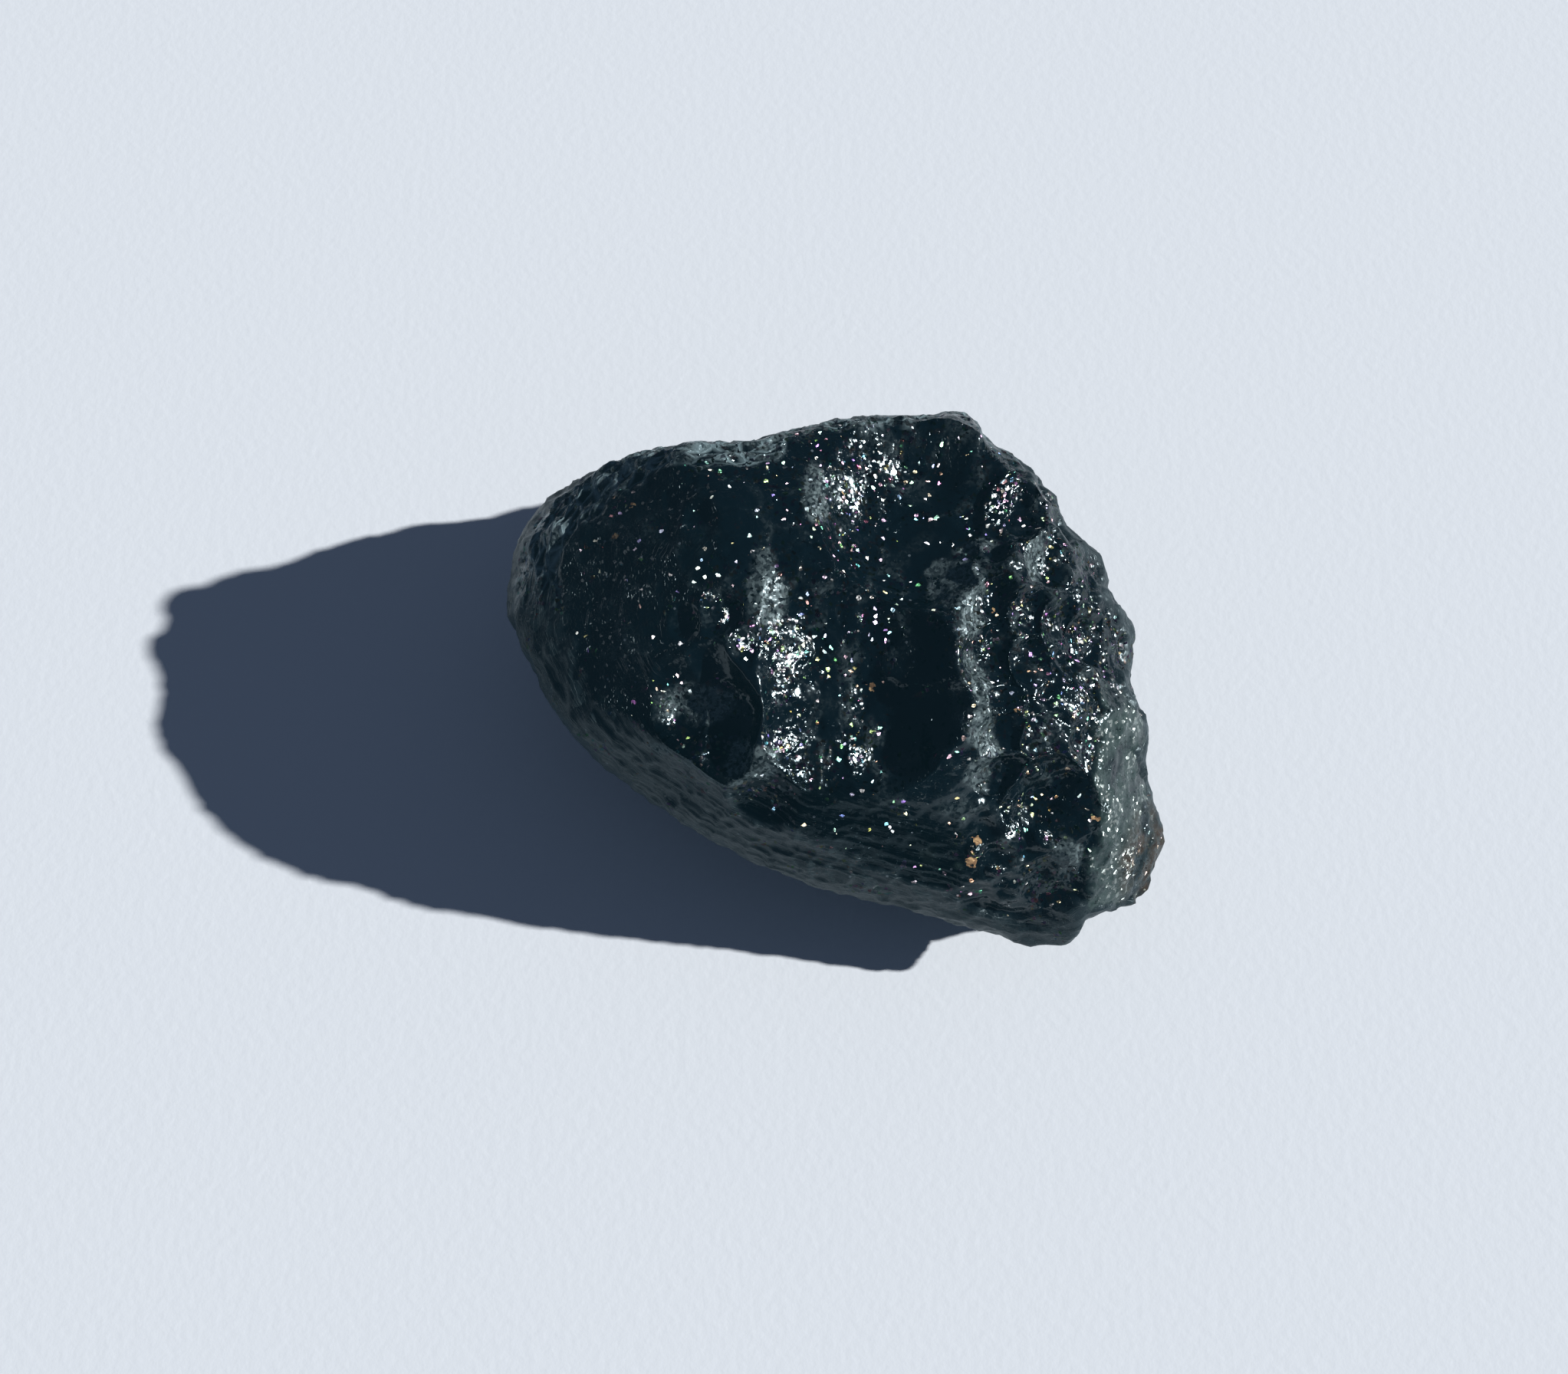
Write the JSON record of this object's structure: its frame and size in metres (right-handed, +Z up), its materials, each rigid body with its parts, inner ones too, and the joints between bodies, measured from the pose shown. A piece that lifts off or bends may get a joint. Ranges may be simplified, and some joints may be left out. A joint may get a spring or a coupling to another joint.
{
  "type": "tektite",
  "caption": "Black natural glass tektite, a blunt wedge with a deeply scooped glossy face, a thin scalloped edge and a rounded dimpled back that it rests on.",
  "frame": {"origin": "centre of the stone's bounding box in plan, on the surface that it rests on", "axes": "+X from the blunt nose to the scalloped edge, along the stone's length; +Y from the lower edge of the scooped face to its upper edge; +Z up, out of the scooped face, which leans back by 22 degrees from level"},
  "size_m": [0.043, 0.0366, 0.0217],
  "materials": {
    "black_glass": "gloss"
  },
  "bodies": {
    "root": {"tektite": "black_glass"}
  },
  "joints": []
}
